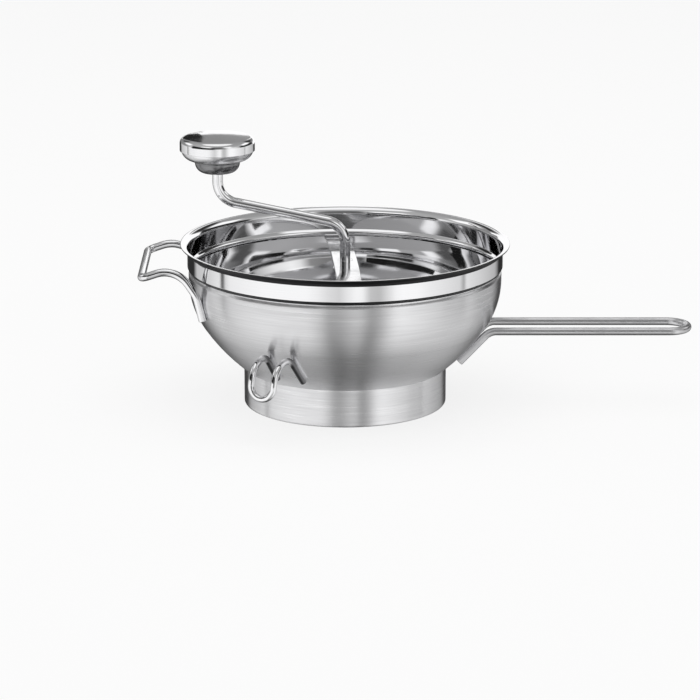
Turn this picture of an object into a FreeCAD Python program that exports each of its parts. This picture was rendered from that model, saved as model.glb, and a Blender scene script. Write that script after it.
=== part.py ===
import FreeCAD, Part
import math
import os

os.makedirs("parts", exist_ok=True)

vector = FreeCAD.Vector
up = vector(0, 0, 1)

# Sizes are in millimetres and angles in degrees. The foot stands on the plane of zero height,
# the bowl's axis is the vertical through the origin, and the long handle points along +X.

# Clearances between pieces
weld_gap = 0.06
press_gap = 0.03
running_gap = 0.05
free_gap = 0.35

# Bowl of bent sheet, stated on its outer face
sheet = 1.0
rim_height = 125.0
lip_radius = 125.2
lip_bend = 4.6
lip_edge_round = 0.4
band_radius = 120.0
groove_top = 107.2
groove_height = 104.6
groove_bottom = 102.4
groove_radius = 117.0
groove_bend = 1.6
bowl_radius = 119.1
shoulder_height = 97.4
shoulder_radius = 63.0
shoulder_turn = 34.5
flank_radius = 148.0
flank_turn = 19.4

# Foot ring with an inward flange that carries the sieve
foot_radius = 77.3
foot_edge_round = 2.0
foot_opening_radius = 69.0

# Sieve: a shallow pan with rings of holes and an eyelet bush in the middle
sieve_sheet = 0.8
sieve_radius = 75.4
sieve_rim = 5.0
sieve_bend = 2.0
sieve_hole_radius = 2.0
sieve_ring_pitch = 8.0
sieve_first_ring = 2
sieve_last_ring = 8
holes_per_ring_step = 6
sieve_bush_radius = 5.0
sieve_bush_flange_radius = 7.0
sieve_bush_flange = 0.7

# Wire of both handles and thinner wire of the pot hooks, sunk a little into the welds
wire_radius = 3.0
hook_wire_radius = 2.5
weld_sink = 0.4

# Long handle
handle_height = 58.6
handle_half_width = 15.5
handle_reach = 262.0
handle_contact_turn = 43.3
handle_foot_height = 34.5
handle_bend = 12.0

# Helper handle
helper_half_width = 47.0
helper_foot_half_width = 52.0
helper_contact_turn = 12.3
helper_foot_height = 76.0
helper_leave_height = 95.0
helper_leave_bend = 17.5
helper_crown_reach = 126.3
helper_crown_height = 116.4
helper_crown_bend = 21.5
helper_bar_reach = 152.6
helper_bar_height = 107.6
helper_corner_bend = 6.0

# Pot hooks
hook_azimuth = 243.5
hook_half_width = 9.2
hook_foot_half_width = 10.8
hook_reach = 136.8
hook_lean = 8.5
hook_low_height = 35.4
hook_contact_turn = 41.6
hook_foot_height = 38.2
hook_arch_bend = 17.4

# Crossbar of bowed strip with its bush
bar_width = 18.5
bar_thickness = 2.2
bar_top = 111.0
bar_end_top = 101.8
bar_land = 30.0
bar_bow_radius = 400.0
bar_angle = 93.3
bar_bush_radius = 5.6
bar_bush_flange_radius = 9.2
bar_bush_flange = 1.8

# Crank rod
rod_radius = 4.0
rod_low_corner = 138.3
rod_high_drop = 20.8
rod_throw = 96.4
rod_bend = 17.0
rod_stub = 2.15
pilot_radius = 3.0
pilot_lift = 0.6
pin_radius = 1.5

# Press blade and its hub
blade_radius = 73.4
blade_thickness = 1.5
blade_gap = 0.4
blade_rise = 22.0
blade_ramp = 150.0
blade_tail = 45.0
blade_lead_azimuth = 200.0
hub_radius = 8.0
hub_height = 31.0
hub_pin_height = 26.0
hub_pin_length = 15.4

# Pressure spring between its seat and the thrust washer
washer_radius = 9.2
washer_thickness = 1.6
seat_height = 64.0
seat_thickness = 2.0
seat_pin_length = 15.0
spring_radius = 6.8
spring_wire_radius = 0.9
spring_turns = 7.5
spring_seat_gap = 0.1

# Knob: its rises and drops are measured from the top of its bush
knob_bush_top = 192.0
knob_radius = 28.4
knob_head_room = 16.0
knob_dome_radius = 175.0
knob_dome_turn = 8.0
knob_top_bend = 4.6
cap_skirt_rise = 4.0
cap_sheet = 0.9
cap_edge_round = 0.3
base_sheet = 1.6
base_rim_rise = 7.0
base_underside_drop = 1.8
base_underside_bend = 9.0
hub_dome_radius = 17.0
hub_dome_drop = 13.0
hub_dome_bend = 7.6
hub_neck_drop = 3.8
hub_neck_bend = 1.0
knob_bush_radius = 6.1
knob_bush_inset = 0.3
knob_bush_flange_radius = 8.5
knob_bush_flange = 1.5
ring_thickness = 1.0
ring_seat_depth = 0.7
clip_radius = 6.8
stop_radius = 5.0
stop_inset = 0.5


def point(radius, height):
    return vector(radius, 0, height)


def polar(angle):
    return math.cos(math.radians(angle)), math.sin(math.radians(angle))


def rounded_path(corners, bends):
    edges = []
    start = corners[0]
    for index in range(1, len(corners) - 1):
        corner = corners[index]
        arriving = (corner - corners[index - 1]).normalize()
        leaving = (corners[index + 1] - corner).normalize()
        half_turn = arriving.getAngle(leaving) / 2
        setback = bends[index] * math.tan(half_turn)
        bend_start = corner - arriving * setback
        bend_end = corner + leaving * setback
        if not start.isEqual(bend_start, Part.Precision.confusion()):
            edges.append(Part.makeLine(start, bend_start))
        if bends[index] > 0:
            inside = (leaving - arriving).normalize()
            bend_middle = corner + inside * bends[index] * (1 / math.cos(half_turn) - 1)
            edges.append(Part.Arc(bend_start, bend_middle, bend_end).toShape())
        start = bend_end
    if not start.isEqual(corners[-1], Part.Precision.confusion()):
        edges.append(Part.makeLine(start, corners[-1]))
    return edges


def rounded_face(corners, bends):
    middle = (corners[0] + corners[-1]) * 0.5
    edges = rounded_path([middle] + corners + [middle], [0] + bends + [0])
    return Part.Face(Part.Wire(edges))


# A positive distance moves the path to the right of its own heading in the XZ plane.
def moved_path(corners, bends, distance):
    headings = [(end - start).normalize() for start, end in zip(corners, corners[1:])]
    moved = []
    moved_bends = []
    for index, corner in enumerate(corners):
        arriving = headings[max(index - 1, 0)]
        leaving = headings[min(index, len(headings) - 1)]
        first_normal = vector(arriving.z, 0, -arriving.x)
        second_normal = vector(leaving.z, 0, -leaving.x)
        reach = distance / (1 + first_normal.dot(second_normal))
        moved.append(corner + (first_normal + second_normal) * reach)
        turns_left = arriving.x * leaving.z - arriving.z * leaving.x > 0
        change = distance if turns_left else -distance
        moved_bends.append(bends[index] + change if bends[index] > 0 else 0)
    return moved, moved_bends


def sheet_face(corners, bends, thickness, edge_round):
    far_corners, far_bends = moved_path(corners, bends, thickness)
    near_bends = [edge_round] + bends[1:-1] + [edge_round]
    back_bends = [edge_round] + far_bends[-2:0:-1] + [edge_round]
    return rounded_face(corners + far_corners[::-1], near_bends + back_bends)


def turned(face):
    return face.revolve(vector(0, 0, 0), up, 360)


def turned_outline(*corners):
    return turned(rounded_face(list(corners), [0] * len(corners)))


def washer(outer, inner, bottom, thickness):
    ring = Part.makeCylinder(outer, thickness, point(0, bottom))
    return ring.cut(Part.makeCylinder(inner, thickness, point(0, bottom)))


def cross_pin(radius, length, height):
    return Part.makeCylinder(radius, length, point(-length / 2, height), vector(1, 0, 0))


def bent_rod(corners, bends, radius):
    path = Part.Wire(rounded_path(corners, bends))
    heading = corners[1] - corners[0]
    section = Part.Wire(Part.Circle(corners[0], heading, radius).toShape())
    return path.makePipeShell([section], True, False)


def mirrored_path(corners, bends):
    other_side = [vector(corner.x, -corner.y, corner.z) for corner in reversed(corners)]
    return corners + other_side, bends + bends[::-1]


def export(shape, node):
    shape.exportStep("parts/" + node + ".step")


# Bowl outline from the lip's edge down the outer face
shoulder_setback = shoulder_radius * math.tan(math.radians(shoulder_turn / 2))
flank_setback = flank_radius * math.tan(math.radians(flank_turn / 2))
shoulder_cos, shoulder_sin = polar(shoulder_turn)
end_cos, end_sin = polar(shoulder_turn + flank_turn)
shoulder_corner = point(bowl_radius, shoulder_height - shoulder_setback)
flank_corner = shoulder_corner - point(shoulder_sin, shoulder_cos) * (shoulder_setback + flank_setback)
bowl_end = flank_corner - point(end_sin, end_cos) * flank_setback
bowl_corners = [
    point(lip_radius, rim_height - sheet),
    point(band_radius, rim_height - sheet),
    point(band_radius, groove_top),
    point(groove_radius, groove_height),
    point(bowl_radius, groove_bottom),
    shoulder_corner,
    flank_corner,
    bowl_end,
]
bowl_bends = [0, lip_bend, groove_bend, groove_bend, groove_bend, shoulder_radius, flank_radius, 0]
foot_bore_radius = foot_radius - sheet
bowl_sheet = turned(sheet_face(bowl_corners, bowl_bends, sheet, lip_edge_round))
export(bowl_sheet.cut(Part.makeCylinder(foot_bore_radius, shoulder_height)), "bowl")

# Filled bowl, a weld gap larger, that trims what is welded to the outside
trim_corners, trim_bends = moved_path(bowl_corners, bowl_bends, -weld_gap)
trim_corners = [point(0, rim_height)] + trim_corners[2:] + [point(0, trim_corners[-1].z)]
bowl_trim = turned(rounded_face(trim_corners, [0, 0] + trim_bends[3:] + [0]))

# Foot ring
foot_corners = [
    point(foot_radius, flank_corner.z),
    point(foot_radius, 0),
    point(foot_opening_radius, 0),
]
foot_face = sheet_face(foot_corners, [0, foot_edge_round, 0], sheet, 0)
export(turned(foot_face).cut(bowl_trim), "foot_ring")

# Sieve disc
sieve_corners = [
    point(sieve_radius, sheet + sieve_rim),
    point(sieve_radius, sheet),
    point(sieve_bush_radius, sheet),
]
sieve_pan = turned(sheet_face(sieve_corners, [0, sieve_bend, 0], sieve_sheet, 0))
sieve_holes = []
for ring in range(sieve_first_ring, sieve_last_ring + 1):
    count = ring * holes_per_ring_step
    for step in range(count):
        hole_cos, hole_sin = polar(360 * step / count)
        centre = vector(hole_cos, hole_sin, 0) * (ring * sieve_ring_pitch)
        sieve_holes.append(Part.makeCylinder(sieve_hole_radius, rim_height, centre))
export(sieve_pan.cut(Part.makeCompound(sieve_holes)), "sieve_disc")

# Sieve bush: an eyelet with a flange on each side of the sieve
sieve_top = sheet + sieve_sheet
bush_bottom = sheet - sieve_bush_flange
bush_top = sieve_top + sieve_bush_flange
eyelet_radius = sieve_bush_radius - press_gap
eyelet_bore = pilot_radius + running_gap
sieve_bush = turned_outline(
    point(eyelet_bore, bush_bottom),
    point(sieve_bush_flange_radius, bush_bottom),
    point(sieve_bush_flange_radius, sheet),
    point(eyelet_radius, sheet),
    point(eyelet_radius, sieve_top),
    point(sieve_bush_flange_radius, sieve_top),
    point(sieve_bush_flange_radius, bush_top),
    point(eyelet_bore, bush_top),
)
export(sieve_bush, "sieve_bush")

# Where wire lies along the bowl: a straight run that touches the wall at one turn below level,
# its middle standing off by the wire's radius less the sink
shoulder_centre = point(bowl_radius - shoulder_radius, shoulder_height)
flank_centre = shoulder_centre + point(shoulder_cos, -shoulder_sin) * (shoulder_radius - flank_radius)


def wall_line(centre, radius, contact_turn, half_width, wire):
    contact_cos, contact_sin = polar(contact_turn)
    contact = centre + point(contact_cos, -contact_sin) * (radius + wire - weld_sink)
    reach = math.sqrt(contact.x**2 - half_width**2)
    heading = point(contact_sin * contact.x / reach, contact_cos)
    return point(reach, contact.z), heading


def along_line(origin, heading, height):
    return origin + heading * ((height - origin.z) / heading.z)


# Long handle: one wire bent into a loop, its two legs under the bowl
handle_contact, handle_heading = wall_line(
    flank_centre, flank_radius, handle_contact_turn, handle_half_width, wire_radius
)
handle_side = vector(0, -handle_half_width, 0)
handle_corners = [
    along_line(handle_contact, handle_heading, handle_foot_height) + handle_side,
    along_line(handle_contact, handle_heading, handle_height) + handle_side,
    point(handle_reach, handle_height) + handle_side,
]
handle_path = mirrored_path(handle_corners, [0, handle_bend, handle_half_width])
export(bent_rod(*handle_path, wire_radius).cut(bowl_trim), "long_handle")

# Helper handle: one wire bent into a humped loop
helper_contact, helper_heading = wall_line(
    shoulder_centre, shoulder_radius, helper_contact_turn, helper_foot_half_width, wire_radius
)
helper_foot_side = vector(0, -helper_foot_half_width, 0)
helper_side = vector(0, -helper_half_width, 0)
helper_corners = [
    along_line(helper_contact, helper_heading, helper_foot_height) + helper_foot_side,
    along_line(helper_contact, helper_heading, helper_leave_height) + helper_foot_side,
    point(helper_crown_reach, helper_crown_height) + helper_side,
    point(helper_bar_reach, helper_bar_height) + helper_side,
]
helper_bends = [0, helper_leave_bend, helper_crown_bend, helper_corner_bend]
helper_path = mirrored_path(helper_corners, helper_bends)
helper = bent_rod(*helper_path, wire_radius)
helper.rotate(vector(0, 0, 0), up, 180)
export(helper.cut(bowl_trim), "helper_handle")

# Pot hooks: legs up the flank, over an arch and down into a hanging loop, mirrored front and rear
hook_contact, hook_heading = wall_line(
    flank_centre, flank_radius, hook_contact_turn, hook_foot_half_width, hook_wire_radius
)
hook_side = vector(0, -hook_half_width, 0)
hook_foot_side = vector(0, -hook_foot_half_width, 0)
hook_low = point(hook_reach, hook_low_height)
lean_cos, lean_sin = polar(hook_lean)
lean_heading = point(-lean_sin, lean_cos)
gap = hook_low - hook_contact
crossing = hook_heading.x * lean_heading.z - hook_heading.z * lean_heading.x
hook_rise = (gap.x * lean_heading.z - gap.z * lean_heading.x) / crossing
hook_corners = [
    along_line(hook_contact, hook_heading, hook_foot_height) + hook_foot_side,
    hook_contact + hook_heading * hook_rise + hook_side,
    hook_low + hook_side,
]
hook_path = mirrored_path(hook_corners, [0, hook_arch_bend, hook_half_width])
for node, azimuth in (("front_hook", hook_azimuth), ("rear_hook", -hook_azimuth)):
    hook = bent_rod(*hook_path, hook_wire_radius)
    hook.rotate(vector(0, 0, 0), up, azimuth)
    export(hook.cut(bowl_trim), node)

# Crossbar: a bowed strip whose ends sit under the ridge inside the bowl
bar_end_radius = bowl_radius - sheet - free_gap
bar_corners = [
    point(-bar_end_radius, bar_end_top),
    point(-bar_land, bar_top),
    point(bar_land, bar_top),
    point(bar_end_radius, bar_end_top),
]
bar_face = sheet_face(bar_corners, [0, bar_bow_radius, bar_bow_radius, 0], bar_thickness, 0)
bar_face.translate(vector(0, -bar_width / 2, 0))
bar = bar_face.extrude(vector(0, bar_width, 0))
bar = bar.common(Part.makeCylinder(bar_end_radius, rim_height))
bar = bar.cut(Part.makeCylinder(bar_bush_radius, rim_height))
bar.rotate(vector(0, 0, 0), up, bar_angle)
export(bar, "crossbar")

# Crossbar bush: flush on top, flange below the bar
bar_bottom = bar_top - bar_thickness
bar_bush_bottom = bar_bottom - bar_bush_flange
rod_bore = rod_radius + running_gap
bar_bush = turned_outline(
    point(rod_bore, bar_bush_bottom),
    point(bar_bush_flange_radius, bar_bush_bottom),
    point(bar_bush_flange_radius, bar_bottom),
    point(bar_bush_radius - press_gap, bar_bottom),
    point(bar_bush_radius - press_gap, bar_top),
    point(rod_bore, bar_top),
)
export(bar_bush, "crossbar_bush")

# Thrust washer, spring and the pinned seat below it
washer_bottom = bar_bush_bottom - free_gap - washer_thickness
export(washer(washer_radius, rod_bore, washer_bottom, washer_thickness), "thrust_washer")

spring_start = seat_height + spring_wire_radius + spring_seat_gap
spring_length = washer_bottom - spring_seat_gap - spring_wire_radius - spring_start
spring_pitch = spring_length / spring_turns
spring_path = Part.makeHelix(spring_pitch, spring_length, spring_radius)
spring_path.translate(point(0, spring_start))
spring_heading = vector(0, 2 * math.pi * spring_radius, spring_pitch)
spring_section = Part.Circle(point(spring_radius, spring_start), spring_heading, spring_wire_radius)
spring = Part.Wire(spring_path).makePipeShell([Part.Wire(spring_section.toShape())], True, True)
export(spring, "pressure_spring")

seat_bottom = seat_height - seat_thickness
rod_fit = rod_radius + press_gap
pin_fit = pin_radius + press_gap
seat_pin_height = seat_bottom - pin_radius - press_gap
export(washer(washer_radius, rod_fit, seat_bottom, seat_thickness), "spring_seat")
export(cross_pin(pin_radius, seat_pin_length, seat_pin_height), "seat_pin")

# Crank rod with its pilot, pin holes and ring seats
hub_bottom = bush_top + blade_gap
hub_dome_bottom = knob_bush_top - hub_dome_drop
knob_bush_bottom = hub_dome_bottom + knob_bush_inset
stop_height = knob_bush_bottom + stop_inset
clip_height = knob_bush_top + free_gap
rod_top = clip_height + ring_thickness + rod_stub
rod_high_corner = hub_dome_bottom - rod_high_drop
rod_corners = [
    point(0, hub_bottom),
    point(0, rod_low_corner),
    point(-rod_throw, rod_high_corner),
    point(-rod_throw, rod_top),
]
rod = bent_rod(rod_corners, [0, rod_bend, rod_bend, 0], rod_radius)
rod = rod.fuse(Part.makeCylinder(pilot_radius, hub_bottom - pilot_lift, point(0, pilot_lift)))
for height in (hub_pin_height, seat_pin_height):
    rod = rod.cut(cross_pin(pin_fit, hub_radius * 2, height))
ring_seat_radius = rod_radius - ring_seat_depth
for height in (clip_height, stop_height):
    seat = washer(hub_radius, ring_seat_radius, height - press_gap, ring_thickness + press_gap * 2)
    seat.translate(vector(-rod_throw, 0, 0))
    rod = rod.cut(seat)
export(rod, "crank_rod")

# Press blade: a ramp that leads high and trails into a flat tail, welded round the hub
blade_bottom = sieve_top + blade_gap
blade_inner = hub_radius + weld_gap
blade_pitch = blade_rise * 360 / blade_ramp
ramp_edges = []
for radius in (blade_radius, blade_inner):
    ramp_edges.append(Part.makeHelix(blade_pitch, blade_rise, radius, 0, True).Edges[0])
ramp = Part.makeRuledSurface(*ramp_edges).extrude(up * blade_thickness)
tail = Part.makeCylinder(blade_radius, blade_thickness, vector(0, 0, 0), up, blade_tail)
tail = tail.cut(Part.makeCylinder(blade_inner, blade_thickness))
blade = ramp.fuse(tail).removeSplitter()
blade.translate(point(0, blade_bottom))
blade.rotate(vector(0, 0, 0), up, blade_lead_azimuth + blade_ramp)
export(blade, "press_blade")

hub = washer(hub_radius, rod_fit, hub_bottom, hub_height)
export(hub.cut(cross_pin(pin_fit, hub_radius * 2, hub_pin_height)), "blade_hub")
export(cross_pin(pin_radius, hub_pin_length, hub_pin_height), "hub_pin")


def export_on_knob_axis(shape, node):
    shape.translate(vector(-rod_throw, 0, 0))
    export(shape, node)


# Knob: a drawn cap over a dished base, a bush inside, and two rings that hold it on the rod
knob_top = knob_bush_top + knob_head_room
dome_reach = knob_dome_radius * math.tan(math.radians(knob_dome_turn / 2))
dome_fall = (knob_radius - dome_reach) * math.tan(math.radians(knob_dome_turn))
cap_corners = [
    point(0, knob_top),
    point(dome_reach, knob_top),
    point(knob_radius, knob_top - dome_fall),
    point(knob_radius, knob_bush_top + cap_skirt_rise),
]
cap_bends = [0, knob_dome_radius, knob_top_bend, 0]
cap_inside, inside_bends = moved_path(cap_corners, cap_bends, cap_sheet)
cap_face = rounded_face(
    cap_corners + cap_inside[::-1],
    cap_bends[:-1] + [cap_edge_round, cap_edge_round] + inside_bends[-2::-1],
)
export_on_knob_axis(turned(cap_face), "knob_cap")

base_radius = knob_radius - cap_sheet - press_gap
base_corners = [
    point(base_radius, knob_bush_top + base_rim_rise),
    point(base_radius, knob_bush_top - base_underside_drop),
    point(hub_dome_radius, knob_bush_top - hub_neck_drop),
    point(hub_dome_radius, hub_dome_bottom),
    point(knob_bush_radius, hub_dome_bottom),
]
base_bends = [0, base_underside_bend, hub_neck_bend, hub_dome_bend, 0]
base_face = sheet_face(base_corners, base_bends, base_sheet, 0)
export_on_knob_axis(turned(base_face), "knob_base")

bush_radius = knob_bush_radius - press_gap
flange_bottom = hub_dome_bottom + base_sheet
flange_top = flange_bottom + knob_bush_flange
stop_bore = stop_radius + free_gap
stop_bore_top = stop_height + ring_thickness + free_gap
knob_bush = turned_outline(
    point(stop_bore, knob_bush_bottom),
    point(bush_radius, knob_bush_bottom),
    point(bush_radius, flange_bottom),
    point(knob_bush_flange_radius, flange_bottom),
    point(knob_bush_flange_radius, flange_top),
    point(bush_radius, flange_top),
    point(bush_radius, knob_bush_top),
    point(rod_bore, knob_bush_top),
    point(rod_bore, stop_bore_top),
    point(stop_bore, stop_bore_top),
)
export_on_knob_axis(knob_bush, "knob_bush")

ring_bore = ring_seat_radius + press_gap
export_on_knob_axis(washer(clip_radius, ring_bore, clip_height, ring_thickness), "knob_clip")
export_on_knob_axis(washer(stop_radius, ring_bore, stop_height, ring_thickness), "knob_stop")
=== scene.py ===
import bpy
import math
from mathutils import Matrix, Vector


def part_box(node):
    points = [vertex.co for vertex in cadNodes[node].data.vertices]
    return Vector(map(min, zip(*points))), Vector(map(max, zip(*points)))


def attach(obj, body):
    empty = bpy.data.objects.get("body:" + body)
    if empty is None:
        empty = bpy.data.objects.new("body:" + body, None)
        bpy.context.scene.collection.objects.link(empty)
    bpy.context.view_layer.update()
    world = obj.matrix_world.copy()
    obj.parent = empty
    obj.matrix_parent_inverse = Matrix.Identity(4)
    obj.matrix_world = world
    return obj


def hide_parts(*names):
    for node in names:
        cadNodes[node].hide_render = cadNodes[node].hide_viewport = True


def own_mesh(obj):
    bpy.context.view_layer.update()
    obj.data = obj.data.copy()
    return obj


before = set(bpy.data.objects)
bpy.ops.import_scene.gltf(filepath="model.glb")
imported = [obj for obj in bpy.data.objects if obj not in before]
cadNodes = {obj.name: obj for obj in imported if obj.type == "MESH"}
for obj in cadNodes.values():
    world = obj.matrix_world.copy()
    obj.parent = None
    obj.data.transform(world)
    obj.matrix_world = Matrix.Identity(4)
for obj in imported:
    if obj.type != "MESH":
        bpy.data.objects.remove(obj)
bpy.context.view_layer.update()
scene = bpy.context.scene
mm = 0.001
meshFinish = {"shortest": 1e-7, "mergeGap": 1e-6, "edgeSteps": 3, "edgeAngle": 55, "smoothAngle": 40,
              "normalWeight": 100}
print("frame loaded:", len(cadNodes), "nodes")


# hand tools

def clearSelection():
    if bpy.context.object and bpy.context.object.mode != "OBJECT":
        bpy.ops.object.mode_set(mode="OBJECT")
    bpy.ops.object.select_all(action="DESELECT")


def openForEditing(name):
    piece = bpy.context.object
    piece.name = name
    piece.data.name = name
    bpy.ops.object.transform_apply(location=True, rotation=True, scale=True)
    bpy.ops.object.mode_set(mode="EDIT")
    bpy.ops.mesh.select_all(action="SELECT")
    return piece


def startPoint(name, spot):  # a small plane merged to one point, to draw an outline from
    clearSelection()
    bpy.ops.mesh.primitive_plane_add(size=mm, location=spot)
    piece = openForEditing(name)
    bpy.ops.mesh.merge(type="CENTER")
    return piece


def startRing(name, spot, heading, radius, sides):  # an open ring that faces along the heading
    clearSelection()
    turn = heading.to_track_quat("Z", "Y").to_euler()
    bpy.ops.mesh.primitive_circle_add(vertices=sides, radius=radius, location=spot, rotation=turn)
    return openForEditing(name)


def pull(step):
    if step.length > meshFinish["shortest"]:
        bpy.ops.mesh.extrude_region_move(TRANSFORM_OT_translate={"value": step})


def followPath(corners, bends, bendStep):  # straight runs are pulled and corners are spun
    here = corners[0]
    for before, corner, after, bend in zip(corners, corners[1:], corners[2:], bends):
        arriving = (corner - before).normalized()
        leaving = (after - corner).normalized()
        turn = arriving.angle(leaving)
        setback = bend * math.tan(turn / 2)
        bendStart = corner - arriving * setback
        pull(bendStart - here)
        if bend > 0:
            axis = arriving.cross(leaving).normalized()
            centre = bendStart + axis.cross(arriving) * bend
            steps = max(2, math.ceil(math.degrees(turn) / bendStep))
            bpy.ops.mesh.spin(steps=steps, angle=turn, center=centre, axis=-axis)
        here = corner + leaving * setback
    pull(corners[-1] - here)


def spinRound(spot, sectors, openTop=False):  # turns the whole outline into a lathed shell
    bpy.ops.mesh.select_all(action="SELECT")
    bpy.ops.mesh.spin(steps=sectors, angle=2 * math.pi, center=spot, axis=(0, 0, 1))
    bpy.ops.mesh.select_all(action="SELECT")
    bpy.ops.mesh.remove_doubles(threshold=meshFinish["mergeGap"])
    bpy.ops.mesh.normals_make_consistent(inside=openTop)  # an open dish is read inside out


def addModifier(piece, kind, **settings):
    modifier = piece.modifiers.new(kind.lower(), kind)
    for setting, value in settings.items():
        setattr(modifier, setting, value)
    bpy.ops.object.modifier_apply(modifier=modifier.name)


def finishMesh(piece, wall=0.0, edge=0.0):
    bpy.ops.object.mode_set(mode="OBJECT")
    clearSelection()
    piece.select_set(True)
    bpy.context.view_layer.objects.active = piece
    if wall > 0:
        addModifier(piece, "SOLIDIFY", thickness=wall, offset=-1, use_even_offset=True)
    if edge > 0:
        addModifier(piece, "BEVEL", width=edge, segments=meshFinish["edgeSteps"], limit_method="ANGLE",
                    angle_limit=math.radians(meshFinish["edgeAngle"]))
    bpy.ops.object.shade_smooth_by_angle(angle=math.radians(meshFinish["smoothAngle"]))
    addModifier(piece, "WEIGHTED_NORMAL", keep_sharp=True, weight=meshFinish["normalWeight"])
    return piece


def place(piece, node, body, slot, *materials):
    piece.data.materials.clear()
    for material in materials:
        piece.data.materials.append(material)
    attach(piece, body)
    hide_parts(node)


def polarPoint(radius, height, turn=0.0):
    return Vector((radius * math.cos(turn), radius * math.sin(turn), height)) * mm


# shader tools

def addNode(tree, kind, **settings):
    node = tree.nodes.new(kind)
    for setting, value in settings.items():
        setattr(node, setting, value)
    return node


def setInputs(node, **values):
    for name, value in values.items():
        node.inputs[name.replace("_", " ")].default_value = value


def mathNode(tree, operation, first, second=None):
    node = addNode(tree, "ShaderNodeMath", operation=operation)
    for socket, value in zip(node.inputs, (first, second)):
        if value is None:
            continue
        if isinstance(value, (int, float)):
            socket.default_value = value
        else:
            tree.links.new(value, socket)
    return node.outputs[0]


def remap(tree, value, low, high, toLow, toHigh, smooth=False):
    blending = "SMOOTHSTEP" if smooth else "LINEAR"
    node = addNode(tree, "ShaderNodeMapRange", interpolation_type=blending)
    node.inputs["From Min"].default_value = low
    node.inputs["From Max"].default_value = high
    node.inputs["To Min"].default_value = toLow
    node.inputs["To Max"].default_value = toHigh
    tree.links.new(value, node.inputs["Value"])
    return node.outputs["Result"]


def newGroup(name, inputs, output):
    group = bpy.data.node_groups.new(name, "ShaderNodeTree")
    for socketName, kind in inputs:
        group.interface.new_socket(name=socketName, in_out="INPUT", socket_type=kind)
    group.interface.new_socket(name=output, in_out="OUTPUT", socket_type="NodeSocketFloat")
    return group, addNode(group, "NodeGroupInput"), addNode(group, "NodeGroupOutput")


def makeLatheLines():  # fine rings that a polishing wheel leaves round the axis
    group, given, result = newGroup("latheLines", (
        ("Vector", "NodeSocketVector"), ("Sweep", "NodeSocketFloat"), ("Fineness", "NodeSocketFloat"),
    ), "Lines")
    parts = addNode(group, "ShaderNodeSeparateXYZ")
    group.links.new(given.outputs["Vector"], parts.inputs[0])
    across = mathNode(group, "MULTIPLY", parts.outputs["X"], parts.outputs["X"])
    along = mathNode(group, "MULTIPLY", parts.outputs["Y"], parts.outputs["Y"])
    radius = mathNode(group, "SQRT", mathNode(group, "ADD", across, along))
    radius = mathNode(group, "MAXIMUM", radius, 0.1 * mm)  # never zero on the axis
    level = mathNode(group, "ADD", parts.outputs["Z"], radius)
    ring = addNode(group, "ShaderNodeCombineXYZ")
    for axis in ("X", "Y"):
        share = mathNode(group, "DIVIDE", parts.outputs[axis], radius)
        group.links.new(mathNode(group, "MULTIPLY", share, given.outputs["Sweep"]), ring.inputs[axis])
    group.links.new(mathNode(group, "MULTIPLY", level, given.outputs["Fineness"]), ring.inputs["Z"])
    noise = addNode(group, "ShaderNodeTexNoise")
    setInputs(noise, Scale=1.0, Detail=2.5, Roughness=0.55)
    group.links.new(ring.outputs[0], noise.inputs["Vector"])
    group.links.new(noise.outputs["Fac"], result.inputs["Lines"])
    return group


def makeHandling():  # faint cloudy marks left by wiping and handling
    faint, full = 0.42, 0.68
    group, given, result = newGroup("handling", (
        ("Vector", "NodeSocketVector"), ("Scale", "NodeSocketFloat"),
    ), "Marks")
    noise = addNode(group, "ShaderNodeTexNoise")
    setInputs(noise, Detail=6.0, Roughness=0.6, Distortion=0.4)
    group.links.new(given.outputs["Vector"], noise.inputs["Vector"])
    group.links.new(given.outputs["Scale"], noise.inputs["Scale"])
    marks = remap(group, noise.outputs["Fac"], faint, full, 0.0, 1.0, smooth=True)
    group.links.new(marks, result.inputs["Marks"])
    return group


latheLines = makeLatheLines()
handling = makeHandling()


def newMaterial(name):
    material = bpy.data.materials.new(name)
    material.use_nodes = True
    return material, material.node_tree


def newFinish(name):  # a material with its shader and the coordinates that its marks follow
    material, tree = newMaterial(name)
    shader = tree.nodes["Principled BSDF"]
    spot = addNode(tree, "ShaderNodeTexCoord").outputs["Object"]
    return material, tree, shader, spot


def placeGroup(tree, group, spot, **values):
    node = addNode(tree, "ShaderNodeGroup", node_tree=group)
    setInputs(node, **values)
    tree.links.new(spot, node.inputs["Vector"])
    return node.outputs[0]


def tintBy(tree, mask, dark, light, target):
    tint = addNode(tree, "ShaderNodeMix", data_type="RGBA")
    tint.inputs["A"].default_value = (*dark, 1)
    tint.inputs["B"].default_value = (*light, 1)
    tree.links.new(mask, tint.inputs["Factor"])
    tree.links.new(tint.outputs["Result"], target)


def bumpBy(tree, height, look, shader):
    bump = addNode(tree, "ShaderNodeBump")
    setInputs(bump, Strength=look["bump"], Distance=look["depth"] * mm)
    tree.links.new(height, bump.inputs["Height"])
    tree.links.new(bump.outputs["Normal"], shader.inputs["Normal"])


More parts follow.
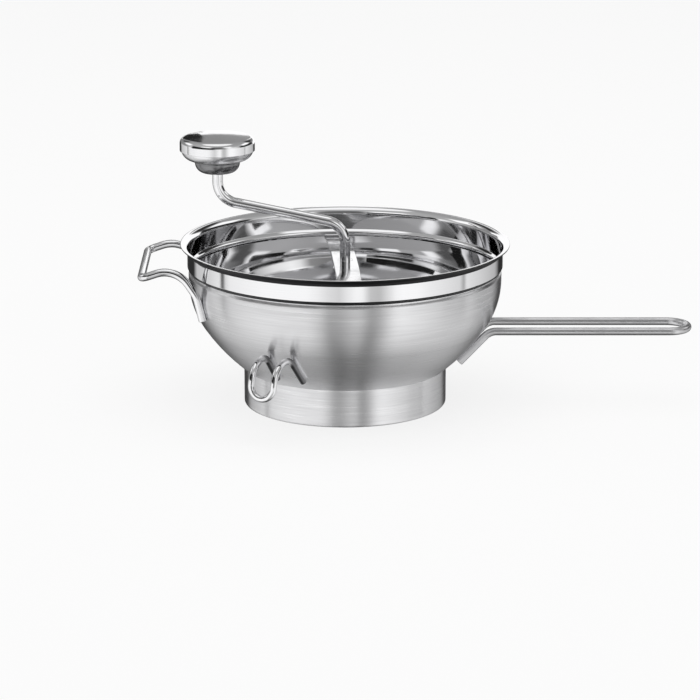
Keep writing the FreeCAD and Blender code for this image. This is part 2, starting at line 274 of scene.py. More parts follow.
def makeSatinSteel():
    look = {"dark": (0.79, 0.79, 0.80), "light": (0.89, 0.89, 0.90), "smooth": 0.27, "rough": 0.33,
            "anisotropy": 1.0, "rotation": 0.25, "sweep": 1.6, "fineness": 900.0, "fineSweep": 3.5,
            "fineFineness": 2800.0, "lineLow": 0.36, "lineHigh": 0.64, "bump": 0.06, "depth": 0.01}
    material, tree, shader, spot = newFinish("satinSteel")
    broad = placeGroup(tree, latheLines, spot, Sweep=look["sweep"], Fineness=look["fineness"])
    fine = placeGroup(tree, latheLines, spot, Sweep=look["fineSweep"], Fineness=look["fineFineness"])
    lines = mathNode(tree, "MULTIPLY", mathNode(tree, "ADD", broad, fine), 0.5)
    lines = remap(tree, lines, look["lineLow"], look["lineHigh"], 0.0, 1.0)
    tintBy(tree, lines, look["dark"], look["light"], shader.inputs["Base Color"])
    rough = remap(tree, lines, 0.0, 1.0, look["rough"], look["smooth"])
    tree.links.new(rough, shader.inputs["Roughness"])
    bumpBy(tree, lines, look, shader)
    tangent = addNode(tree, "ShaderNodeTangent", direction_type="RADIAL", axis="Z")
    tree.links.new(tangent.outputs[0], shader.inputs["Tangent"])
    setInputs(shader, Metallic=1.0, Anisotropic=look["anisotropy"], Anisotropic_Rotation=look["rotation"])
    return material


turnedLooks = {  # steel polished on the lathe, with the distance of its axis from the mill's own
    "turnedPolish": {"dark": (0.83, 0.83, 0.84), "light": (0.88, 0.88, 0.89), "smooth": 0.03, "rough": 0.09,
                     "sweep": 3.0, "fineness": 1500.0, "markScale": 28.0, "axis": 0.0,
                     "bump": 0.03, "depth": 0.004},
    "knobPolish": {"dark": (0.83, 0.83, 0.84), "light": (0.88, 0.88, 0.89), "smooth": 0.1, "rough": 0.15,
                   "sweep": 3.0, "fineness": 1500.0, "markScale": 40.0, "axis": -96.4,
                   "bump": 0.03, "depth": 0.004},
    "knobUnderside": {"dark": (0.84, 0.84, 0.85), "light": (0.9, 0.9, 0.91), "smooth": 0.24, "rough": 0.3,
                      "sweep": 3.0, "fineness": 1500.0, "markScale": 40.0, "axis": -96.4,
                      "bump": 0.03, "depth": 0.004},
    # the hub's near-black tint is painted shade
    "hubPaintedShade": {"dark": (0.17, 0.17, 0.175), "light": (0.28, 0.28, 0.285), "smooth": 0.16, "rough": 0.26,
                 "sweep": 2.0, "fineness": 900.0, "markScale": 120.0, "axis": -96.4,
                 "bump": 0.03, "depth": 0.004},
}


def makeTurned(name):
    look = turnedLooks[name]
    material, tree, shader, spot = newFinish(name)
    shift = addNode(tree, "ShaderNodeMapping")
    setInputs(shift, Location=(-look["axis"] * mm, 0, 0))
    tree.links.new(spot, shift.inputs["Vector"])
    spot = shift.outputs["Vector"]
    lines = placeGroup(tree, latheLines, spot, Sweep=look["sweep"], Fineness=look["fineness"])
    marks = placeGroup(tree, handling, spot, Scale=look["markScale"])
    tintBy(tree, lines, look["dark"], look["light"], shader.inputs["Base Color"])
    rough = remap(tree, marks, 0.0, 1.0, look["smooth"], look["rough"])
    tree.links.new(rough, shader.inputs["Roughness"])
    bumpBy(tree, lines, look, shader)
    setInputs(shader, Metallic=1.0)
    return material


wireLooks = {  # bright wire, and the duller drawn wire of the long handle
    "polishedWire": {"dark": (0.80, 0.80, 0.81), "light": (0.88, 0.88, 0.89), "smooth": 0.09, "rough": 0.17,
                     "markScale": 60.0, "grainScale": 2400.0, "bump": 0.03, "depth": 0.004},
    "handleWire": {"dark": (0.62, 0.62, 0.63), "light": (0.7, 0.7, 0.71), "smooth": 0.3, "rough": 0.38,
                   "markScale": 60.0, "grainScale": 1800.0, "bump": 0.03, "depth": 0.004},
}


def makeWire(name):
    look = wireLooks[name]
    material, tree, shader, spot = newFinish(name)
    marks = placeGroup(tree, handling, spot, Scale=look["markScale"])
    grain = placeGroup(tree, handling, spot, Scale=look["grainScale"])
    tintBy(tree, marks, look["light"], look["dark"], shader.inputs["Base Color"])
    rough = remap(tree, marks, 0.0, 1.0, look["smooth"], look["rough"])
    tree.links.new(rough, shader.inputs["Roughness"])
    bumpBy(tree, grain, look, shader)
    setInputs(shader, Metallic=1.0)
    return material


def makeHookShadedWire():  # hook wire with painted shade on its legs along the wall: dark a few millimetres off the wall, bright where it touches and farther out
    look = {"dark": (0.2, 0.2, 0.205), "light": (0.86, 0.86, 0.87), "smooth": 0.1, "rough": 0.3,
            "inner": 1.8, "outer": 2.8, "near": 5.0, "far": 9.5, "grainScale": 900.0,
            "bump": 0.03, "depth": 0.004}
    material, tree, shader, spot = newFinish("hookShadedWire")
    parts = addNode(tree, "ShaderNodeSeparateXYZ")
    tree.links.new(spot, parts.inputs[0])
    across = mathNode(tree, "MULTIPLY", parts.outputs["X"], parts.outputs["X"])
    along = mathNode(tree, "MULTIPLY", parts.outputs["Y"], parts.outputs["Y"])
    reach = mathNode(tree, "SQRT", mathNode(tree, "ADD", across, along))
    outward = mathNode(tree, "SUBTRACT", reach, flankCentre.x * mm)
    upward = mathNode(tree, "SUBTRACT", parts.outputs["Z"], flankCentre.z * mm)
    outward = mathNode(tree, "MULTIPLY", outward, outward)
    upward = mathNode(tree, "MULTIPLY", upward, upward)
    gap = mathNode(tree, "SQRT", mathNode(tree, "ADD", outward, upward))
    gap = mathNode(tree, "SUBTRACT", gap, flankRadius * mm)
    wallSide = remap(tree, gap, look["inner"] * mm, look["outer"] * mm, 1.0, 0.0, smooth=True)
    farSide = remap(tree, gap, look["near"] * mm, look["far"] * mm, 0.0, 1.0, smooth=True)
    unshaded = mathNode(tree, "MAXIMUM", wallSide, farSide)
    grain = placeGroup(tree, handling, spot, Scale=look["grainScale"])
    # painted shade: the wire is tinted dark, and made rougher, in the band just off the wall
    tintBy(tree, unshaded, look["dark"], look["light"], shader.inputs["Base Color"])
    rough = remap(tree, unshaded, 0.0, 1.0, look["rough"], look["smooth"])
    tree.links.new(rough, shader.inputs["Roughness"])
    bumpBy(tree, grain, look, shader)
    setInputs(shader, Metallic=1.0)
    return material


grainLooks = {  # drawn spring wire, moulded plastic, and the blade's steel, worn matt by food
    "drawnSpringSteel": {"dark": (0.36, 0.36, 0.37), "light": (0.56, 0.56, 0.57), "smooth": 0.2,
                         "rough": 0.4, "markScale": 150.0, "grainScale": 1800.0, "bump": 0.15, "depth": 0.01,
                         "metal": 1.0},
    "bearingPlastic": {"dark": (0.70, 0.69, 0.64), "light": (0.80, 0.79, 0.75), "smooth": 0.38,
                       "rough": 0.52, "markScale": 90.0, "grainScale": 1500.0, "bump": 0.2, "depth": 0.02,
                       "metal": 0.0},
    "dullSteel": {"dark": (0.26, 0.26, 0.27), "light": (0.40, 0.40, 0.41), "smooth": 0.28,
                  "rough": 0.42, "markScale": 45.0, "grainScale": 1600.0, "bump": 0.1, "depth": 0.01,
                  "metal": 1.0},
}


def makeGrained(name):
    look = grainLooks[name]
    material, tree, shader, spot = newFinish(name)
    marks = placeGroup(tree, handling, spot, Scale=look["markScale"])
    grain = placeGroup(tree, handling, spot, Scale=look["grainScale"])
    tintBy(tree, marks, look["light"], look["dark"], shader.inputs["Base Color"])
    rough = remap(tree, grain, 0.0, 1.0, look["smooth"], look["rough"])
    tree.links.new(rough, shader.inputs["Roughness"])
    bumpBy(tree, grain, look, shader)
    setInputs(shader, Metallic=look["metal"])
    return material


def makeGrooveShade():  # painted shade: a near-black steel for the rolled groove and the lip's underside
    look = {"dark": (0.012, 0.012, 0.013), "light": (0.05, 0.05, 0.052), "smooth": 0.3, "rough": 0.5,
            "sweep": 4.0, "fineness": 1200.0, "lineLow": 0.3, "lineHigh": 0.7}
    material, tree, shader, spot = newFinish("grooveShade")
    lines = placeGroup(tree, latheLines, spot, Sweep=look["sweep"], Fineness=look["fineness"])
    tintBy(tree, lines, look["dark"], look["light"], shader.inputs["Base Color"])
    rough = remap(tree, lines, look["lineLow"], look["lineHigh"], look["smooth"], look["rough"])
    tree.links.new(rough, shader.inputs["Roughness"])
    setInputs(shader, Metallic=1.0)
    return material


satinSteel = makeSatinSteel()
turnedPolish = makeTurned("turnedPolish")
knobPolish = makeTurned("knobPolish")
knobUnderside = makeTurned("knobUnderside")
hubPaintedShade = makeTurned("hubPaintedShade")
polishedWire = makeWire("polishedWire")
handleWire = makeWire("handleWire")
springSteel = makeGrained("drawnSpringSteel")
bearingPlastic = makeGrained("bearingPlastic")
dullSteel = makeGrained("dullSteel")
grooveShade = makeGrooveShade()
print("materials made")


# bowl: one sheet, drawn as its outer outline from the lip's edge down, then lathed

bowlShape = {
    "sheet": 1.0, "lipEdge": 0.38, "lipBend": 4.6, "bandRadius": 120.0, "wallRadius": 119.1,
    "grooveTop": 107.2, "grooveHeight": 104.6, "grooveBottom": 102.4, "grooveRadius": 117.0,
    "grooveBend": 1.6, "shoulderHeight": 97.4, "shoulderRadius": 63.0, "shoulderTurn": math.radians(34.5),
    "flankRadius": 148.0, "sectors": 256, "bendStep": 3, "shadeTilt": 0.2, "lipShade": 4.8, "lipTilt": 0.3,
}
footShape = {"wall": 1.0, "edgeBend": 2.0, "opening": 69.0, "sectors": 224, "bendStep": 9}

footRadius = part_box("foot_ring")[1].x / mm
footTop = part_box("foot_ring")[1].z / mm
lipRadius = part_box("bowl")[1].x / mm
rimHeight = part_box("bowl")[1].z / mm

shoulderTurn = bowlShape["shoulderTurn"]
shoulderRadius = bowlShape["shoulderRadius"]
flankRadius = bowlShape["flankRadius"]
shoulderCentre = Vector((bowlShape["wallRadius"] - shoulderRadius, 0, bowlShape["shoulderHeight"]))
flankCentre = shoulderCentre - Vector((math.cos(shoulderTurn), 0, -math.sin(shoulderTurn))) * (
    flankRadius - shoulderRadius)
flankTurn = math.acos((footRadius - footShape["wall"] - flankCentre.x) / flankRadius) - shoulderTurn


def wallPoint(centre, radius, turn):
    return centre + Vector((math.cos(turn), 0, -math.sin(turn))) * radius


def makeBowl():
    shape = bowlShape
    lipUnder = rimHeight - shape["sheet"]
    shoulderSetback = shoulderRadius * math.tan(shoulderTurn / 2)
    flankSetback = flankRadius * math.tan(flankTurn / 2)
    shoulderCorner = Vector((shape["wallRadius"], 0, shape["shoulderHeight"] - shoulderSetback))
    slope = Vector((-math.sin(shoulderTurn), 0, -math.cos(shoulderTurn)))
    flankCorner = shoulderCorner + slope * (shoulderSetback + flankSetback)
    flankEnd = wallPoint(flankCentre, flankRadius, shoulderTurn + flankTurn)
    corners = [
        Vector((lipRadius, 0, lipUnder)),
        Vector((shape["bandRadius"], 0, lipUnder)),
        Vector((shape["bandRadius"], 0, lipUnder - shape["lipShade"])),
        Vector((shape["bandRadius"], 0, shape["grooveTop"])),
        Vector((shape["grooveRadius"], 0, shape["grooveHeight"])),
        Vector((shape["wallRadius"], 0, shape["grooveBottom"])),
        shoulderCorner, flankCorner, flankEnd,
    ]
    bends = [shape["lipBend"], 0, shape["grooveBend"], shape["grooveBend"], shape["grooveBend"],
             shoulderRadius, flankRadius]
    corners = [corner * mm for corner in corners]
    piece = startPoint("bowlShell", corners[0])
    followPath(corners, [bend * mm for bend in bends], shape["bendStep"])
    spinRound((0, 0, 0), shape["sectors"], openTop=True)
    finishMesh(piece, wall=shape["sheet"] * mm, edge=shape["lipEdge"] * mm)
    place(piece, "bowl", "bowl_body", "satin_steel", turnedPolish, satinSteel, grooveShade)
    for face in piece.data.polygons:  # satin outside below the groove, and painted shade under the groove's roof and the lip
        height = face.center.z / mm
        facing = face.normal.x * face.center.x + face.normal.y * face.center.y
        hanging = face.normal.z < -shape["shadeTilt"]
        outward = facing > 0 and face.normal.z < shape["lipTilt"]
        underLip = outward and height > lipUnder - shape["lipShade"]
        grooveRoof = hanging and facing > 0 and height > shape["grooveHeight"]
        if underLip or grooveRoof:
            face.material_index = 2
        elif facing > 0 and height < shape["grooveHeight"]:
            face.material_index = 1


def makeFoot():
    shape = footShape
    corners = [polarPoint(footRadius, footTop), polarPoint(footRadius, 0), polarPoint(shape["opening"], 0)]
    piece = startPoint("footShell", corners[0])
    followPath(corners, [shape["edgeBend"] * mm], shape["bendStep"])
    spinRound((0, 0, 0), shape["sectors"])
    finishMesh(piece, wall=shape["wall"] * mm)
    place(piece, "foot_ring", "bowl_body", "satin_steel", satinSteel)


makeBowl()
makeFoot()
print("bowl and foot made")


# handles and hooks: wire bent by hand, with its legs laid along the bowl's wall

wireShape = {"radius": 3.0, "hookRadius": 2.5, "sink": 0.4, "sides": 32, "bendStep": 5, "endRound": 0.5}
longHandle = {"height": 58.6, "halfWidth": 15.5, "contactTurn": math.radians(43.3), "footHeight": 34.5,
              "bend": 12.0}
helperHandle = {
    "halfWidth": 47.0, "footHalfWidth": 52.0, "contactTurn": math.radians(12.3), "footHeight": 76.0,
    "leaveHeight": 95.0, "leaveBend": 17.5, "crownReach": 126.3, "crownHeight": 116.4, "crownBend": 21.5,
    "barReach": 152.6, "barHeight": 107.6, "cornerBend": 6.0,
}
potHook = {
    "azimuth": math.radians(243.5), "halfWidth": 9.2, "footHalfWidth": 10.8, "reach": 136.8,
    "lean": math.radians(8.5), "lowHeight": 35.4, "contactTurn": math.radians(41.6), "footHeight": 38.2,
    "archBend": 17.4,
}


def wallRun(centre, radius, contactTurn, halfWidth, wire):  # a straight run that touches the wall once
    contact = wallPoint(centre, radius + wire - wireShape["sink"], contactTurn)
    reach = math.sqrt(contact.x ** 2 - halfWidth ** 2)
    heading = Vector((math.sin(contactTurn) * contact.x / reach, 0, math.cos(contactTurn)))
    return Vector((reach, 0, contact.z)), heading


def alongRun(start, heading, height):
    return start + heading * ((height - start.z) / heading.z)


def bendWire(name, half, halfBends, wire, turn):  # half a path, mirrored across the piece's own middle
    other = [Vector((corner.x, -corner.y, corner.z)) for corner in reversed(half)]
    corners = [Matrix.Rotation(turn, 3, "Z") @ corner * mm for corner in half + other]
    bends = [bend * mm for bend in halfBends + halfBends[::-1]]
    piece = startRing(name, corners[0], corners[1] - corners[0], wire * mm, wireShape["sides"])
    followPath(corners, bends, wireShape["bendStep"])
    bpy.ops.mesh.select_all(action="SELECT")
    bpy.ops.mesh.fill_holes(sides=0)
    bpy.ops.mesh.normals_make_consistent(inside=False)
    return finishMesh(piece, edge=wireShape["endRound"] * mm)


def makeLongHandle():
    shape = longHandle
    wire = wireShape["radius"]
    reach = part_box("long_handle")[1].x / mm - wire
    contact, heading = wallRun(flankCentre, flankRadius, shape["contactTurn"], shape["halfWidth"], wire)
    side = Vector((0, -shape["halfWidth"], 0))
    half = [
        alongRun(contact, heading, shape["footHeight"]) + side,
        alongRun(contact, heading, shape["height"]) + side,
        Vector((reach, 0, shape["height"])) + side,
    ]
    piece = bendWire("longHandleWire", half, [shape["bend"], shape["halfWidth"]], wire, 0)
    place(piece, "long_handle", "bowl_body", "polished_steel", handleWire)


def makeHelperHandle():
    shape = helperHandle
    wire = wireShape["radius"]
    footWidth = shape["footHalfWidth"]
    contact, heading = wallRun(shoulderCentre, shoulderRadius, shape["contactTurn"], footWidth, wire)
    footSide = Vector((0, -footWidth, 0))
    side = Vector((0, -shape["halfWidth"], 0))
    half = [
        alongRun(contact, heading, shape["footHeight"]) + footSide,
        alongRun(contact, heading, shape["leaveHeight"]) + footSide,
        Vector((shape["crownReach"], 0, shape["crownHeight"])) + side,
        Vector((shape["barReach"], 0, shape["barHeight"])) + side,
    ]
    bends = [shape["leaveBend"], shape["crownBend"], shape["cornerBend"]]
    piece = bendWire("helperHandleWire", half, bends, wire, math.pi)
    place(piece, "helper_handle", "bowl_body", "polished_steel", polishedWire)


def makePotHook(name, node, azimuth):
    shape = potHook
    wire = wireShape["hookRadius"]
    contact, heading = wallRun(flankCentre, flankRadius, shape["contactTurn"], shape["footHalfWidth"], wire)
    low = Vector((shape["reach"], 0, shape["lowHeight"]))
    lean = Vector((-math.sin(shape["lean"]), 0, math.cos(shape["lean"])))
    gap = low - contact
    crossing = heading.x * lean.z - heading.z * lean.x
    peak = contact + heading * ((gap.x * lean.z - gap.z * lean.x) / crossing)
    side = Vector((0, -shape["halfWidth"], 0))
    footSide = Vector((0, -shape["footHalfWidth"], 0))
    half = [alongRun(contact, heading, shape["footHeight"]) + footSide, peak + side, low + side]
    piece = bendWire(name, half, [shape["archBend"], shape["halfWidth"]], wire, azimuth)
    place(piece, node, "bowl_body", "polished_steel", hookShadedWire)


hookShadedWire = makeHookShadedWire()
makeLongHandle()
makeHelperHandle()
makePotHook("frontHookWire", "front_hook", potHook["azimuth"])
makePotHook("rearHookWire", "rear_hook", -potHook["azimuth"])
print("handles and hooks made")


# crossbar: a bowed strip with a hole for its bush

barShape = {
    "width": 18.5, "thickness": 2.2, "top": 111.0, "endTop": 101.8, "land": 30.0, "bow": 400.0,
    "angle": math.radians(93.3), "endGap": 0.35, "edge": 0.45, "bendStep": 0.4,
    "hole": 5.6, "drillDepth": 20.0, "drillSides": 64,
}


def makeCrossbar():
    shape = barShape
    endRadius = bowlShape["wallRadius"] - bowlShape["sheet"] - shape["endGap"]
    reach = math.sqrt(endRadius ** 2 - (shape["width"] / 2) ** 2)
    turn = Matrix.Rotation(shape["angle"], 3, "Z")
    side = turn @ Vector((0, shape["width"] * mm, 0))
    outline = [(-reach, shape["endTop"]), (-shape["land"], shape["top"]),
               (shape["land"], shape["top"]), (reach, shape["endTop"])]
    corners = [turn @ Vector((across, 0, height)) * mm - side / 2 for across, height in outline]
    piece = startPoint("crossbarStrip", corners[0])
    followPath(corners, [shape["bow"] * mm] * 2, shape["bendStep"])
    bpy.ops.mesh.select_all(action="SELECT")
    pull(side)
    bpy.ops.mesh.select_all(action="SELECT")
    bpy.ops.mesh.normals_make_consistent(inside=False)
    bpy.ops.object.mode_set(mode="OBJECT")
    if piece.data.polygons[0].normal.z < 0:
        bpy.ops.object.mode_set(mode="EDIT")
        bpy.ops.mesh.flip_normals()
        bpy.ops.object.mode_set(mode="OBJECT")
    addModifier(piece, "SOLIDIFY", thickness=shape["thickness"] * mm, offset=-1, use_even_offset=True)
    clearSelection()
    bpy.ops.mesh.primitive_cylinder_add(vertices=shape["drillSides"], radius=shape["hole"] * mm,
                                        depth=shape["drillDepth"] * mm, location=(0, 0, shape["top"] * mm))
    drill = bpy.context.object
    clearSelection()
    piece.select_set(True)
    bpy.context.view_layer.objects.active = piece
    addModifier(piece, "BOOLEAN", operation="DIFFERENCE", object=drill, solver="EXACT")
    bpy.data.objects.remove(drill)
    finishMesh(piece, edge=shape["edge"] * mm)
    place(piece, "crossbar", "bar_body", "polished_steel", polishedWire)


makeCrossbar()
print("crossbar made")


# crank rod: a thin pilot, then round bar with two bends up to the knob

rodShape = {"radius": 4.0, "pilotRadius": 3.0, "shoulder": 2.9, "lowCorner": 138.3, "highCorner": 158.2,
            "throw": 96.4, "bend": 17.0, "sides": 40, "bendStep": 3, "endRound": 0.5}


def makeCrankRod():
    shape = rodShape
    bottom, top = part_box("crank_rod")
    throw = shape["throw"]
    upward = Vector((0, 0, 1))
    pilot = shape["pilotRadius"] * mm
    piece = startRing("crankRodBar", (0, 0, bottom.z), upward, pilot, shape["sides"])
    pull(Vector((0, 0, shape["shoulder"] * mm - bottom.z)))
    bpy.ops.mesh.extrude_region_move(TRANSFORM_OT_translate={"value": (0, 0, 0)})
    grow = shape["radius"] / shape["pilotRadius"]
    bpy.ops.transform.resize(value=(grow, grow, 1), center_override=(0, 0, shape["shoulder"] * mm))
    corners = [
        Vector((0, 0, shape["shoulder"])), Vector((0, 0, shape["lowCorner"])),
        Vector((-throw, 0, shape["highCorner"])), Vector((-throw, 0, top.z / mm)),
    ]
    followPath([corner * mm for corner in corners], [shape["bend"] * mm] * 2, shape["bendStep"])
    bpy.ops.mesh.select_all(action="SELECT")
    bpy.ops.mesh.fill_holes(sides=0)
    bpy.ops.mesh.normals_make_consistent(inside=False)
    finishMesh(piece, edge=shape["endRound"] * mm)
    place(piece, "crank_rod", "crank_body", "polished_steel", polishedWire)


makeCrankRod()
print("crank rod made")


# pressure spring: a coil under the thrust washer, built at one length, though the real one is pressed
# shorter as the crank lifts

springShape = {"radius": 6.8, "wire": 0.9, "turns": 7.5, "lift": 6.0, "sides": 16, "turnSteps": 40}


def makeSpring():
    shape = springShape
    low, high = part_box("pressure_spring")
    wire = shape["wire"] * mm
    radius = shape["radius"] * mm
    length = high.z - low.z - 2 * wire
    heading = Vector((0, 2 * math.pi * radius * shape["turns"], length))
    piece = startRing("springCoil", (radius, 0, low.z + wire), heading, wire, shape["sides"])
    bpy.ops.object.mode_set(mode="OBJECT")
    steps = round(shape["turns"] * shape["turnSteps"])
    addModifier(piece, "SCREW", angle=2 * math.pi * shape["turns"], screw_offset=length,
                steps=steps, render_steps=steps)
    bpy.ops.object.mode_set(mode="EDIT")
    bpy.ops.mesh.select_all(action="SELECT")
    bpy.ops.mesh.fill_holes(sides=0)
    bpy.ops.mesh.normals_make_consistent(inside=False)
    finishMesh(piece)
    place(piece, "pressure_spring", "washer_body", "spring_steel", springSteel)
    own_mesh(piece)


makeSpring()
print("spring made")


# knob: a drawn cap over a dished base with a domed hub

knobShape = {
    "domeBow": 175.0, "domeTurn": math.radians(8), "topBend": 4.6, "sideBottom": 196.0,
    "capSheet": 0.9, "capGap": 0.03, "capEdge": 0.3,
    "baseSheet": 1.6, "rimTop": 199.0, "undersideHeight": 190.2, "undersideBend": 9.0,
    "domeRadius": 17.0, "domeBottom": 179.0, "domeTop": 188.2, "domeBend": 7.6, "neckBend": 1.0,
    "bore": 6.1, "sectors": 160, "bendStep": 5,
}


def makeKnob():
    shape = knobShape
    low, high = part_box("knob_cap")
    radius = (high.x - low.x) / 2 / mm
    top = high.z / mm
    axis = Vector(((low.x + high.x) / 2, 0, 0))
    domeReach = shape["domeBow"] * math.tan(shape["domeTurn"] / 2)
    domeEdge = top - (radius - domeReach) * math.tan(shape["domeTurn"])
    capOutline = [(0, top), (domeReach, top), (radius, domeEdge), (radius, shape["sideBottom"])]
    capBends = [shape["domeBow"], shape["topBend"]]
    baseRadius = radius - shape["capSheet"] - shape["capGap"]
    baseOutline = [
        (baseRadius, shape["rimTop"]), (baseRadius, shape["undersideHeight"]),
        (shape["domeRadius"], shape["domeTop"]), (shape["domeRadius"], shape["domeBottom"]),
        (shape["bore"], shape["domeBottom"]),
    ]
    baseBends = [shape["undersideBend"], shape["neckBend"], shape["domeBend"]]
    halves = (
        ("knobCapShell", "knob_cap", capOutline, capBends, shape["capSheet"], shape["capEdge"], knobPolish),
        ("knobBaseShell", "knob_base", baseOutline, baseBends, shape["baseSheet"], 0, knobUnderside),
    )
    for name, node, outline, bends, sheet, edge, material in halves:
        corners = [axis + polarPoint(across, height) for across, height in outline]
        piece = startPoint(name, corners[0])
        followPath(corners, [bend * mm for bend in bends], shape["bendStep"])
        spinRound(axis, shape["sectors"])
        finishMesh(piece, wall=sheet * mm, edge=edge * mm)
        place(piece, node, "knob_body", "polished_steel", material)
    piece.data.materials.append(hubPaintedShade)
    for face in piece.data.polygons:  # the base's hub takes painted shade, a steel far darker than the dish above it
        if face.center.z / mm < shape["domeTop"]:
            face.material_index = 1


makeKnob()
print("knob made")


# carried-over nodes keep their shape and take a finish

finishes = {
    "sieve_disc": turnedPolish, "sieve_bush": polishedWire, "crossbar_bush": polishedWire,
    "thrust_washer": polishedWire, "spring_seat": polishedWire, "seat_pin": springSteel,
    "press_blade": dullSteel, "blade_hub": polishedWire, "hub_pin": springSteel,
    "knob_clip": springSteel, "knob_stop": springSteel, "knob_bush": bearingPlastic,
}
for node, material in finishes.items():
    cadNodes[node].data.materials.clear()
    cadNodes[node].data.materials.append(material)
print("finishes given")


# studio: pale floor, soft top light, and boards far round the object for the metal to mirror

floorLook = {"size": 60.0, "colour": (0.96, 0.96, 0.96), "glow": 0.8}
topLight = {"size": 3.0, "height": 2.4, "power": 30.0}
cameraPlace = {"spot": (0.00376, -2.5313, 0.7187), "tilt": math.radians(15.014), "lens": 175.8,
               "sensor": 36.0}
boards = {
    # azimuth in degrees from the camera's side, positive towards the long handle, with brightness
    "under": ((-180, 0.03), (-118, 0.03), (-104, 0.24), (-24, 0.27), (-12, 0.08), (-4, 0.09), (8, 0.15),
              (18, 0.06), (25, 0.07), (38, 0.27), (64, 0.28), (92, 0.22), (118, 0.03), (180, 0.03)),
    "low": ((-180, 0.1), (-166, 0.03), (-144, 0.03), (-137, 0.55), (-103, 0.9), (-101.5, 0.3), (-99, 0.3),
            (-97, 0.8), (-92, 0.96), (-60, 1.1), (-30, 1.08), (-22, 0.8), (-12, 0.3), (-8, 0.42), (-4, 0.46),
            (2, 0.6), (8, 0.74), (12.5, 0.7), (20, 0.24), (25, 0.34), (33, 0.7), (40, 1.08), (48, 1.1),
            (64, 0.95), (92, 0.77), (96, 0.6), (99, 0.82), (141, 0.45), (151, 0.03), (173, 0.1)),
    "walls": ((-180, 0.35), (-172, 0.3), (-166, 0.03), (-144, 0.03), (-137, 0.6), (-118, 0.72),
              (-103, 0.92), (-101.5, 0.1), (-99, 0.1), (-97, 0.78), (-92, 0.96), (-60, 1.08), (-28, 1.08),
              (-20, 0.99), (-12, 0.83), (-4, 0.74), (2, 0.92), (8, 1.06), (12.5, 1.04), (18, 0.62),
              (25, 0.57), (37, 1.04), (42, 1.1), (54, 1.08), (64, 0.97), (92, 0.77), (96, 0.4), (99, 0.86),
              (141, 0.5), (151, 0.03), (166, 0.03), (173, 0.35)),
    "dusk": ((-180, 0.3), (-165, 0.22), (-112, 0.3), (-92, 0.5), (-80, 0.9), (-70, 1.05), (-24, 1.05),
             (-13, 0.1), (12, 0.2), (27, 0.28), (35, 0.85), (42, 1.0), (58, 0.85), (74, 0.5), (78, 0.03),
             (135, 0.03), (141, 0.25), (164, 0.22), (180, 0.3)),
    "boxes": ((-180, 0.28), (-156, 0.28), (-152, 0.03), (-141, 0.03), (-137, 0.3), (-131, 0.35),
              (-124, 1.15), (-97, 1.15), (-92, 0.45), (-56, 0.45), (-48, 1.1), (-24, 1.15), (-15, 0.35),
              (-10, 0.1), (14, 0.1), (20, 0.25), (28, 0.95), (36, 1.15), (46, 1.1), (54, 0.45), (92, 0.45),
              (97, 1.15), (124, 1.15), (131, 0.35), (138, 0.03), (155, 0.03), (160, 0.28), (180, 0.28)),
    "ceiling": ((-180, 0.34), (-140, 0.36), (-60, 0.47), (-10, 0.45), (40, 0.4), (140, 0.34), (180, 0.34)),
    "zenith": ((-180, 1.05), (180, 1.05)),
}
# the boards from the ground up: name, and the elevations over which it takes over from the one below
storeys = (("low", -76, -40), ("walls", -23, -19), ("dusk", -2, 2), ("boxes", 19, 23),
           ("ceiling", 36.5, 41.5), ("zenith", 63.5, 68.5))
# upright cards behind the object that the metal mirrors: middle, width, height and brightness
cards = {
    "backCard": ((84, 450, 202), 432, 165, 1.12),
    "knobBoard": ((-196, 450, 256), 128, 60, 1.12),
    "barBoard": ((0, 450, 353), 40, 135, 1.1),
    "knobFlag": ((-149, 200, 262), 50, 74, 0.02),
}
# a dark flag bent round the object's front left, mirrored inside the bowl beside the crossbar
bandFlag = {"radius": 500.0, "low": 150.0, "high": 394.0, "first": 188, "last": 252, "level": 0.012,
            "steps": 24}


def azimuthRamp(tree, azimuth, stops):
    ramp = addNode(tree, "ShaderNodeValToRGB")
    elements = ramp.color_ramp.elements
    while len(elements) > 1:
        elements.remove(elements[-1])
    for index, (degrees, level) in enumerate(stops):
        spot = (degrees + 180) / 360
        element = elements[0] if index == 0 else elements.new(spot)
        element.position = spot
        element.color = (level, level, level, 1)
    tree.links.new(azimuth, ramp.inputs[0])
    return ramp.outputs["Color"]


def layer(tree, mask, below, above):
    mix = addNode(tree, "ShaderNodeMix", data_type="RGBA")
    tree.links.new(mask, mix.inputs["Factor"])
    tree.links.new(below, mix.inputs["A"])
    if isinstance(above, (int, float)):
        mix.inputs["B"].default_value = (above, above, above, 1)
    else:
        tree.links.new(above, mix.inputs["B"])
    return mix.outputs["Result"]


def makeWorld():
    world = bpy.data.worlds.new("studioBoards")
    scene.world = world
    world.use_nodes = True
    tree = world.node_tree
    sky = tree.nodes["Background"]
    parts = addNode(tree, "ShaderNodeSeparateXYZ")
    tree.links.new(addNode(tree, "ShaderNodeTexCoord").outputs["Generated"], parts.inputs[0])
    toCamera = mathNode(tree, "MULTIPLY", parts.outputs["Y"], -1.0)
    azimuth = mathNode(tree, "ARCTAN2", parts.outputs["X"], toCamera)
    azimuth = remap(tree, azimuth, -math.pi, math.pi, 0.0, 1.0)
    height = mathNode(tree, "MULTIPLY", mathNode(tree, "ARCSINE", parts.outputs["Z"]), 180 / math.pi)
    level = azimuthRamp(tree, azimuth, boards["under"])
    for name, start, end in storeys:
        mask = remap(tree, height, start, end, 0.0, 1.0, smooth=True)
        level = layer(tree, mask, level, azimuthRamp(tree, azimuth, boards[name]))
    path = addNode(tree, "ShaderNodeLightPath")
    shown = layer(tree, path.outputs["Is Camera Ray"], level, 1.0)
    tree.links.new(shown, sky.inputs["Color"])


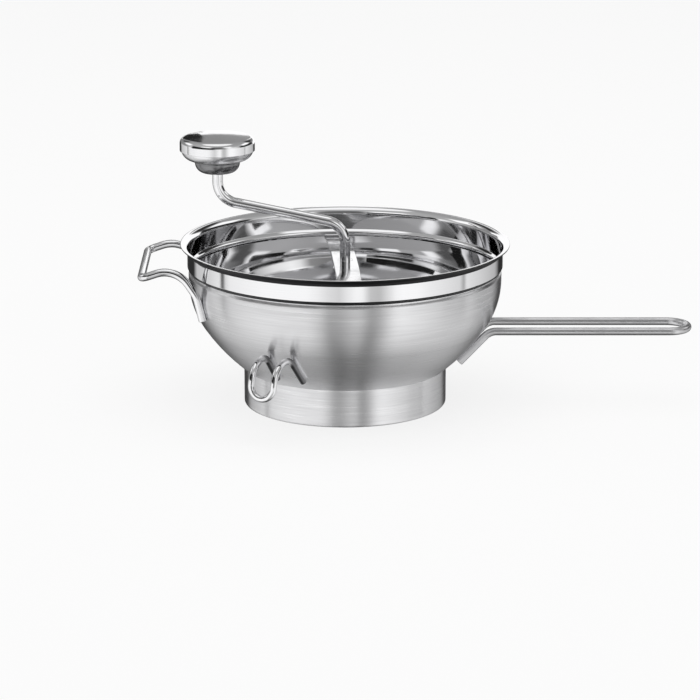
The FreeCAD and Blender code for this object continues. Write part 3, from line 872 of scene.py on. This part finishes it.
def makeFloor():
    clearSelection()
    bpy.ops.mesh.primitive_plane_add(size=floorLook["size"], location=(0, 0, 0))
    floor = bpy.context.object
    floor.name = "floor"
    material, tree = newMaterial("paleFloor")
    shader = tree.nodes["Principled BSDF"]
    setInputs(shader, Base_Color=(*floorLook["colour"], 1), Roughness=1.0)
    path = addNode(tree, "ShaderNodeLightPath")
    glow = addNode(tree, "ShaderNodeEmission")
    share = mathNode(tree, "MULTIPLY", path.outputs["Is Camera Ray"], floorLook["glow"])
    blend = addNode(tree, "ShaderNodeMixShader")
    tree.links.new(share, blend.inputs["Fac"])
    tree.links.new(shader.outputs[0], blend.inputs[1])
    tree.links.new(glow.outputs[0], blend.inputs[2])
    tree.links.new(blend.outputs[0], tree.nodes["Material Output"].inputs["Surface"])
    floor.data.materials.append(material)
    floor.visible_glossy = False  # the metal mirrors the boards, not the floor


def onlyMirrored(card, level):  # a card that shows in the metal and nowhere else
    material, tree = newMaterial(card.name + "Glow")
    glow = addNode(tree, "ShaderNodeEmission")
    setInputs(glow, Strength=level)
    tree.links.new(glow.outputs[0], tree.nodes["Material Output"].inputs["Surface"])
    card.data.materials.append(material)
    card.visible_camera = False
    card.visible_diffuse = False
    card.visible_shadow = False


def makeCards():
    for name, (middle, width, height, level) in cards.items():
        clearSelection()
        bpy.ops.mesh.primitive_plane_add(size=1, location=Vector(middle) * mm, rotation=(math.pi / 2, 0, 0))
        card = bpy.context.object
        card.name = name
        card.scale = (width * mm, height * mm, 1)
        bpy.ops.object.transform_apply(location=True, rotation=True, scale=True)
        onlyMirrored(card, level)


def makeBandFlag():
    flag = bandFlag
    card = startPoint("bandFlag", polarPoint(flag["radius"], flag["low"], math.radians(flag["first"])))
    pull(Vector((0, 0, flag["high"] - flag["low"])) * mm)
    bpy.ops.mesh.select_all(action="SELECT")
    turn = math.radians(flag["last"] - flag["first"])
    bpy.ops.mesh.spin(steps=flag["steps"], angle=turn, center=(0, 0, 0), axis=(0, 0, -1))
    bpy.ops.object.mode_set(mode="OBJECT")
    onlyMirrored(card, flag["level"])


def makeLight():
    clearSelection()
    bpy.ops.object.light_add(type="AREA", location=(0, 0, topLight["height"]))
    lamp = bpy.context.object
    lamp.data.size = topLight["size"]
    lamp.data.energy = topLight["power"]
    lamp.visible_camera = False
    lamp.visible_glossy = False


def makeCamera():
    clearSelection()
    facing = (math.pi / 2 - cameraPlace["tilt"], 0, 0)
    bpy.ops.object.camera_add(location=cameraPlace["spot"], rotation=facing)
    camera = bpy.context.object
    camera.data.lens = cameraPlace["lens"]
    camera.data.sensor_width = cameraPlace["sensor"]
    scene.camera = camera


makeWorld()
makeFloor()
makeCards()
makeBandFlag()
makeLight()
makeCamera()
scene.view_settings.view_transform = "Standard"
print("studio made")
